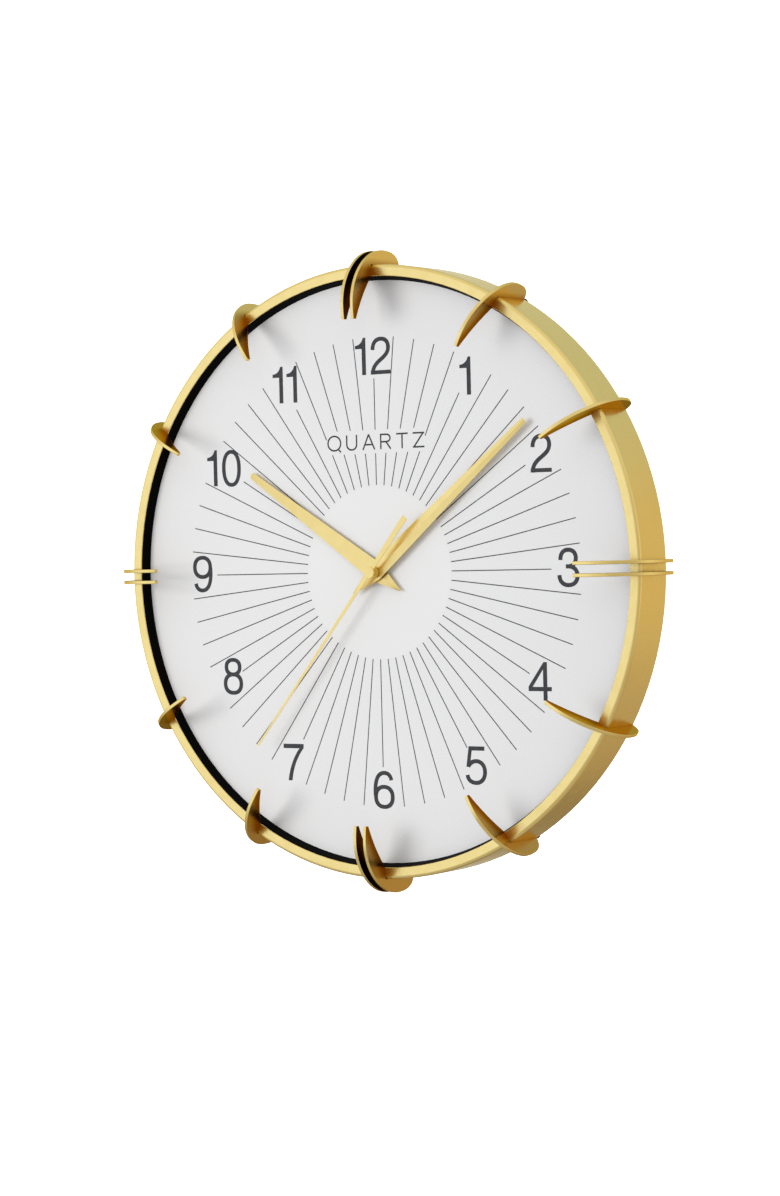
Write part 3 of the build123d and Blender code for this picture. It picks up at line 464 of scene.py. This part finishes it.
FINISHES = {
    gold("gold_case"): ["case_ring"],
    # The blades' gold has painted shade and reflection on its flat faces
    gold("gold_blade", blades=True): [name for name in nodes if name.startswith("blade_")],
    gold("gold_hand", 0.3): [
        "hour_hand", "minute_hand", "second_hand", "second_hub", "second_cap",
    ],
    printed_dial("dial_face"): ["dial"],
    moulded("black_plastic", (0.016, 0.016, 0.017, 1), 0.5, 0.25): [
        "movement_cover", "movement_housing", "setting_knob",
    ],
    flocked("liner_flock"): ["well_liner"],
    hardboard("hardboard"): ["backing_board"],
    zinc_plate("zinc_plate"): ["retaining_tabs", "hanger", "hanger_screws"],
    rubber_skin("rubber_skin"): ["wall_bumpers", "movement_gasket"],
    turned_metal("turned_brass", BRASS, 0.28): ["threaded_bush", "nut_washer", "mounting_nut"],
    moulded(
        "white_acetal", (0.72, 0.71, 0.67, 1), 0.35, 0.08, Subsurface_Weight=0.1, **ACETAL_GRAIN
    ): ["gear_bridge", "intermediate_wheel", "second_wheel", "hour_wheel", "setting_wheel"],
    moulded("black_acetal", (0.03, 0.03, 0.032, 1), 0.35, 0.2, **ACETAL_GRAIN): [
        "third_wheel", "centre_wheel",
    ],
    turned_metal("turned_steel", STEEL, 0.22): ["cannon_pinion", "rotor_pinion"],
    rolled_metal("soft_iron", (0.40, 0.40, 0.42, 1), 0.38, (1.0, 30.0, 30.0)): [
        "stator", "coil_core",
    ],
    rolled_metal("spring_plate", (0.66, 0.64, 0.58, 1), 0.25): ["contact_plus", "contact_minus"],
    rolled_metal("crystal_can", (0.62, 0.62, 0.63, 1), 0.2, (30.0, 30.0, 1.0)): [
        "quartz_crystal",
    ],
    sintered("sintered_magnet"): ["rotor_magnet"],
    copper_winding("copper_wire"): ["coil_winding"],
    moulded(
        "amber_nylon", (0.50, 0.40, 0.22, 1), 0.3, 0.1, Subsurface_Weight=0.1, **ACETAL_GRAIN
    ): ["coil_bobbin"],
    circuit("circuit"): ["circuit_board"],
    moulded("epoxy_blob", (0.006, 0.006, 0.007, 1), 0.22, 0.4, 500.0, 0.0001): ["chip_blob"],
    battery_wrap("battery_wrap"): ["battery"],
}
for material, names in FINISHES.items():
    for name in names:
        mesh = nodes[name].data
        mesh.materials.clear()
        mesh.materials.append(material)


# ------------------------------------------------------------------ printed shapes

INK_HEIGHT = 0.05
CURVE_STEPS = 14

# The width of a digit's strokes, where they run upright and where they run across
UP = 2.65
ACROSS = 2.35


def curve(start, *pieces):
    """Points along cubic curves.

    Each piece is two handles and an end. A lone point ends a straight run.
    """
    points = [start]
    for piece in pieces:
        if len(piece) == 2:
            points.append(piece)
            continue
        from_x, from_y = points[-1]
        (ax, ay), (bx, by), (ex, ey) = piece
        for step in range(1, CURVE_STEPS + 1):
            t = step / CURVE_STEPS
            u = 1 - t
            points.append((
                u * u * u * from_x + 3 * u * u * t * ax + 3 * u * t * t * bx + t * t * t * ex,
                u * u * u * from_y + 3 * u * u * t * ay + 3 * u * t * t * by + t * t * t * ey,
            ))
    return points


def ribbon(points, upright, level):
    """The outline of a stroke along points: `upright` wide running up, `level` wide across."""
    left, right = [], []
    for i, (x, y) in enumerate(points):
        before = points[max(i - 1, 0)]
        after = points[min(i + 1, len(points) - 1)]
        dx, dy = after[0] - before[0], after[1] - before[1]
        length = math.hypot(dx, dy)
        dx, dy = dx / length, dy / length
        half = (upright * abs(dy) + level * abs(dx)) / (abs(dx) + abs(dy)) / 2
        left.append((x - dy * half, y + dx * half))
        right.append((x + dy * half, y - dx * half))
    return left + right[::-1]


def oval(centre, half_width, half_height, power=2.25, steps=64):
    """A slightly squared oval."""
    points = []
    for step in range(steps):
        angle = 2 * math.pi * step / steps
        c, s = math.cos(angle), math.sin(angle)
        points.append((
            centre[0] + half_width * math.copysign(abs(c) ** (2 / power), c),
            centre[1] + half_height * math.copysign(abs(s) ** (2 / power), s),
        ))
    return points


def box(x0, x1, y0, y1):
    return [(x0, y0), (x1, y0), (x1, y1), (x0, y1)]


def bowl(centre, half_width, half_height):
    """The outside and the inside of a closed bowl whose stroke is UP wide at its sides."""
    outside = oval(centre, half_width, half_height)
    inside = oval(centre, half_width - UP, half_height - ACROSS)
    return outside, inside


def stroke(start, *pieces):
    return ribbon(curve(start, *pieces), UP, ACROSS)


def six():
    outside, inside = bowl((7.6, 7.0), 7.2, 7.0)
    back = stroke(
        (12.85, 16.8),
        ((12.3, 19.5), (10.6, 21.0), (7.9, 21.0)),
        ((3.4, 21.0), (1.42, 16.6), (1.42, 10.2)),
        ((1.42, 8.8), (1.5, 7.7), (1.75, 6.8)),
    )
    return [outside, back], [inside]


def nine():
    adds, cuts = six()
    turned = [[(14.8 - x, 22.2 - y) for x, y in shape] for shape in adds + cuts]
    return turned[:2], turned[2:]


def make_digits():
    """Each digit as shapes to add and holes to cut, in millimetres from its lower left corner."""
    digits = {}
    digits["1"] = ([curve(
        (0.0, 15.3), (4.75, 15.3), (4.75, 0.0), (7.5, 0.0), (7.5, 21.7), (5.7, 21.7),
        ((4.9, 18.9), (3.2, 17.5), (0.0, 17.2)),
    )], [])
    digits["2"] = ([
        stroke(
            (1.75, 14.2),
            ((1.75, 18.2), (4.0, 20.45), (7.5, 20.45)),
            ((10.8, 20.45), (12.65, 18.5), (12.65, 15.5)),
            ((12.65, 12.6), (10.7, 10.8), (7.6, 8.7)),
            ((4.2, 6.4), (1.75, 4.6), (1.42, 0.0)),
        ),
        box(0.2, 14.0, 0.0, 2.3),
    ], [])
    digits["3"] = ([
        stroke(
            (1.95, 15.2),
            ((1.95, 18.8), (3.8, 20.85), (6.9, 20.85)),
            ((10.1, 20.85), (11.95, 19.1), (11.95, 16.4)),
            ((11.95, 13.4), (10.0, 11.6), (6.9, 11.6)),
            (5.4, 11.6),
        ),
        stroke(
            (5.4, 11.6),
            (6.9, 11.6),
            ((10.6, 11.6), (12.8, 9.5), (12.8, 6.3)),
            ((12.8, 3.1), (10.4, 1.15), (7.0, 1.15)),
            ((3.4, 1.15), (1.15, 3.2), (1.1, 6.8)),
        ),
    ], [])
    digits["4"] = (
        [[(0.0, 5.3), (9.7, 5.3), (9.7, 0.0), (12.35, 0.0), (12.35, 5.3), (15.2, 5.3), (15.2, 7.7),
          (12.35, 7.7), (12.35, 21.7), (10.1, 21.7), (0.0, 7.9)]],
        [[(2.7, 7.7), (9.7, 7.7), (9.7, 17.6)]],
    )
    digits["5"] = ([
        box(2.5, 13.0, 19.6, 22.0),
        [(2.4, 22.0), (0.6, 10.2), (2.95, 10.2), (4.8, 22.0)],
        stroke(
            (1.9, 10.4),
            ((3.3, 12.6), (5.0, 13.55), (7.3, 13.55)),
            ((10.9, 13.55), (13.1, 11.0), (13.1, 7.4)),
            ((13.1, 3.7), (10.6, 1.15), (7.1, 1.15)),
            ((3.9, 1.15), (1.6, 2.6), (1.25, 5.6)),
        ),
    ], [])
    digits["6"] = six()
    digits["7"] = ([curve(
        (0.0, 21.7), (0.0, 19.1), (11.6, 19.1),
        ((7.4, 14.3), (4.1, 7.4), (3.2, 0.0)),
        (6.0, 0.0),
        ((6.9, 7.2), (9.6, 13.6), (14.7, 19.3)),
        (14.7, 21.7),
    )], [])
    upper, upper_hole = bowl((7.25, 16.65), 6.3, 5.55)
    lower, lower_hole = bowl((7.25, 6.7), 7.25, 6.7)
    digits["8"] = ([upper, lower], [upper_hole, lower_hole])
    digits["9"] = nine()
    ring, ring_hole = bowl((7.05, 11.1), 7.05, 11.1)
    digits["0"] = ([ring], [ring_hole])
    return digits


def flat_shape(bm, adds, cuts, shift=(0.0, 0.0)):
    """Add a closed print on the dial: the union of the added outlines, less the cut ones.

    The triangulation takes outlines that run anticlockwise.
    """
    outlines = adds + cuts
    points, faces = [], []
    for outline in outlines:
        turned = sum(
            x0 * y1 - x1 * y0 for (x0, y0), (x1, y1) in zip(outline, outline[1:] + outline[:1])
        )
        if turned < 0:
            outline = outline[::-1]
        faces.append(list(range(len(points), len(points) + len(outline))))
        points.extend(Vector((x + shift[0], y + shift[1])) for x, y in outline)
    places, _, triangles, _, _, owners = delaunay_2d_cdt(points, [], faces, 1, 1e-5)
    kept = []
    for triangle, inside in zip(triangles, owners):
        if inside and all(face < len(adds) for face in inside):
            kept.append(list(triangle))
    used = sorted({corner for triangle in kept for corner in triangle})
    flat = {i: (places[i][0] * MM, places[i][1] * MM) for i in used}
    fronts = {i: bm.verts.new((x, -INK_HEIGHT * MM, z)) for i, (x, z) in flat.items()}
    backs = {i: bm.verts.new((x, 0.0, z)) for i, (x, z) in flat.items()}
    sides = {}
    for triangle in kept:
        bm.faces.new([fronts[i] for i in triangle])
        bm.faces.new([backs[i] for i in reversed(triangle)])
        for i, j in zip(triangle, triangle[1:] + triangle[:1]):
            if (j, i) in sides:
                del sides[(j, i)]
            else:
                sides[(i, j)] = True
    for i, j in sides:
        bm.faces.new((fronts[j], fronts[i], backs[i], backs[j]))


ink = ink_print("ink")


def add_print(name, bm):
    """Turn a mesh into a printed piece that rides on the clock's case."""
    bmesh.ops.recalc_face_normals(bm, faces=bm.faces)
    mesh = bpy.data.meshes.new(name)
    bm.to_mesh(mesh)
    bm.free()
    mesh.materials.append(ink)
    piece = bpy.data.objects.new(name, mesh)
    scene.collection.objects.link(piece)
    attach(piece, CASE)


# ------------------------------------------------------------------ dial print

RAY_START = 50.7
RAY_END = 136.8
RAY_WIDTH = 0.56
# Each hour's ray stops short of its numeral, from 12 round to 11
HOUR_RAY_ENDS = (
    112.6, 117.2, 117.5, 117.2, 117.0, 116.7, 113.4, 113.4, 116.1, 117.8, 111.2, 111.8,
)
# The box that the word keeps free of rays
WORD_HALF_WIDTH = 34.7
WORD_LOW = 69.1
WORD_HIGH = 82.8


def ray_spans(angle, end):
    """The stretches of a ray that are printed, leaving out the box that holds the word."""
    across, rise = math.sin(angle), math.cos(angle)
    if rise > 0 and abs(across) / rise * WORD_LOW < WORD_HALF_WIDTH:
        enter = WORD_LOW / rise
        leave = WORD_HIGH / rise
        if abs(across) > 1e-6:
            leave = min(leave, WORD_HALF_WIDTH / abs(across))
        return [(RAY_START, enter), (leave, end)]
    return [(RAY_START, end)]


rays = bmesh.new()
for number in range(60):
    angle = math.radians(number * 6)
    ray_end = RAY_END if number % 5 else HOUR_RAY_ENDS[number // 5]
    for start, stop in ray_spans(angle, ray_end):
        line = [(math.sin(angle) * r, math.cos(angle) * r) for r in (start, stop)]
        flat_shape(rays, [ribbon(line, RAY_WIDTH, RAY_WIDTH)], [])
add_print("dial_rays", rays)

# Every hour's digits, with the lower left corner of each on the dial
NUMERALS = {
    1: (("1", 59.2, 100.0),),
    2: (("2", 105.0, 54.4),),
    3: (("3", 121.3, -10.2),),
    4: (("4", 100.5, -73.7),),
    5: (("5", 57.0, -122.2),),
    6: (("6", -7.3, -137.8),),
    7: (("7", -71.5, -122.7),),
    8: (("8", -115.0, -72.2),),
    9: (("9", -136.2, -10.4),),
    10: (("1", -123.4, 53.5), ("0", -112.3, 52.8)),
    11: (("1", -72.9, 101.1), ("1", -62.7, 101.1)),
    12: (("1", -12.9, 114.8), ("2", -2.2, 114.8)),
}
digits = make_digits()
for hour, parts in NUMERALS.items():
    numeral = bmesh.new()
    for digit, left, base in parts:
        adds, cuts = digits[digit]
        flat_shape(numeral, adds, cuts, shift=(left, base))
    add_print(f"numeral_{hour}", numeral)

# The word is the generic one for this kind of movement, in thin wide capitals.
THIN = 0.95


def thin(start, *pieces):
    return ribbon(curve(start, *pieces), THIN, THIN)


def make_word():
    """The letters as (shapes, holes, width), on a 9 mm cap height."""
    letters = []
    letters.append((
        [oval((5.0, 4.5), 5.0, 4.7, 2.05), thin((6.2, 2.6), (9.6, -0.8))],
        [oval((5.0, 4.5), 5.0 - THIN, 4.7 - THIN, 2.05)],
        10.0,
    ))
    letters.append((
        [thin(
            (0.5, 9.0), (0.5, 3.6),
            ((0.5, 1.6), (2.0, 0.35), (4.0, 0.35)),
            ((6.0, 0.35), (7.5, 1.6), (7.5, 3.6)),
            (7.5, 9.0),
        )],
        [],
        8.0,
    ))
    letters.append((
        [
            thin((0.5, 0.0), (4.65, 8.9)),
            thin((4.65, 8.9), (8.8, 0.0)),
            box(1.7, 7.6, 2.5, 2.5 + THIN),
            [(4.0, 8.3), (5.3, 8.3), (5.1, 9.1), (4.2, 9.1)],
        ],
        [],
        9.3,
    ))
    letters.append((
        [
            box(0.0, THIN, 0.0, 9.0),
            thin(
                (0.4, 8.52), (4.2, 8.52),
                ((6.0, 8.52), (7.0, 7.7), (7.0, 6.4)),
                ((7.0, 5.1), (6.0, 4.3), (4.2, 4.3)),
                (0.4, 4.3),
            ),
            thin((4.0, 4.4), (7.4, 0.0)),
        ],
        [],
        8.0,
    ))
    letters.append(([box(0.0, 8.0, 9.0 - THIN, 9.0), box(3.5, 3.5 + THIN, 0.0, 9.0)], [], 8.0))
    letters.append((
        [box(0.0, 8.0, 9.0 - THIN, 9.0), box(0.0, 8.0, 0.0, THIN), thin((7.3, 8.6), (0.7, 0.4))],
        [],
        8.0,
    ))
    return letters


LETTER_GAP = 3.4
WORD_LEFT = -34.2
WORD_BASE = 71.3

word = bmesh.new()
pen = WORD_LEFT
for adds, cuts, width in make_word():
    flat_shape(word, adds, cuts, shift=(pen, WORD_BASE))
    pen += width + LETTER_GAP
add_print("dial_word", word)


# ------------------------------------------------------------------ stage and light

STAGE_GLOW = 1.1
BACKDROP_RADIUS = 40.0
FLOOR_SIZE = 20.0
FLOOR_HEIGHT = -0.6


def stage_piece(name, bm):
    """A plain white thing that only the camera sees."""
    material = bpy.data.materials.new(f"{name}_white")
    material.use_nodes = True
    shader = material.node_tree.nodes["Principled BSDF"]
    shader.inputs["Emission Color"].default_value = (1, 1, 1, 1)
    shader.inputs["Emission Strength"].default_value = STAGE_GLOW
    mesh = bpy.data.meshes.new(name)
    bm.to_mesh(mesh)
    bm.free()
    mesh.materials.append(material)
    piece = bpy.data.objects.new(name, mesh)
    scene.collection.objects.link(piece)
    piece.visible_diffuse = False
    piece.visible_glossy = False
    piece.visible_transmission = False
    piece.visible_shadow = False
    return piece


def make_stage():
    """A white backdrop all round and a white floor below the clock."""
    ball = bmesh.new()
    bmesh.ops.create_icosphere(ball, subdivisions=4, radius=BACKDROP_RADIUS)
    sheet = bmesh.new()
    bmesh.ops.create_grid(sheet, x_segments=1, y_segments=1, size=FLOOR_SIZE)
    floor = stage_piece("floor", sheet)
    floor.location.z = FLOOR_HEIGHT
    stage_piece("backdrop", ball)


make_stage()


def grey(level):
    return (level, level, level, 1.0)


# The studio's light level with the clock, by direction in degrees: 0 is straight in front, 90 is
# on the side of 3 o'clock and 180 is behind
STUDIO_RING = (
    (-180, grey(0.80)),
    (-146, (0.80, 0.83, 0.80, 1)),
    (-95, grey(0.75)),
    (-38, (1.07, 1.17, 1.44, 1)),
    (0, grey(0.82)),
    (32, grey(0.58)),
    (62, (0.58, 0.56, 0.52, 1)),
    (100, (0.95, 0.88, 0.76, 1)),
    (124, (0.80, 0.70, 0.54, 1)),
    (146, (0.71, 0.60, 0.40, 1)),
    (180, (0.76, 0.74, 0.70, 1)),
)
ABOVE_FRONT = grey(0.85)
ABOVE_BEHIND = (0.60, 0.68, 0.72, 1)
BELOW_FRONT = grey(0.55)
BELOW_BEHIND_LEFT = (0.28, 0.24, 0.21, 1)
BELOW_BEHIND_RIGHT = (0.50, 0.42, 0.35, 1)


def make_world():
    """A soft studio: brightest at the front left, dim at the front right, darker below."""
    world = bpy.data.worlds.new("studio")
    scene.world = world
    world.use_nodes = True
    shades = Shades(world.node_tree)
    direction = world.node_tree.nodes.new("ShaderNodeTexCoord").outputs["Generated"]
    x, y, z = shades.split(direction)
    turn = shades.math("ARCTAN2", x, shades.math("MULTIPLY", y, -1.0))
    place = shades.span(turn, -math.pi, math.pi, smooth=False)
    ring = [((degrees + 180) / 360, colour) for degrees, colour in STUDIO_RING]
    level = shades.ramp(place, ring)
    behind = shades.span(y, -0.3, 0.5)
    above = shades.mix(behind, ABOVE_FRONT, ABOVE_BEHIND)
    below_behind = shades.mix(
        shades.span(x, -0.15, 0.15), BELOW_BEHIND_LEFT, BELOW_BEHIND_RIGHT
    )
    below = shades.mix(behind, BELOW_FRONT, below_behind)
    colour = shades.mix(shades.span(z, 0.10, 0.55), level, above)
    colour = shades.mix(shades.span(z, -0.10, -0.50), colour, below)
    shades.put(world.node_tree.nodes["Background"].inputs["Color"], colour)


make_world()


KEY_PLACE = (-1.45, -2.25, 0.12)
KEY_SIZE = 1.3
KEY_POWER = 30.0
KEY_COLOUR = (1.0, 0.97, 0.89)


def make_key():
    """One round soft lamp at the front left, level with the clock, that leaves no hot spot."""
    data = bpy.data.lights.new("key", "AREA")
    data.shape = "DISK"
    data.size = KEY_SIZE
    data.energy = KEY_POWER
    data.color = KEY_COLOUR
    lamp = bpy.data.objects.new("key", data)
    scene.collection.objects.link(lamp)
    lamp.location = KEY_PLACE
    lamp.rotation_mode = "QUATERNION"
    lamp.rotation_quaternion = (-lamp.location).to_track_quat("-Z", "Y")
    lamp.visible_glossy = False


make_key()

scene.view_settings.view_transform = "Standard"
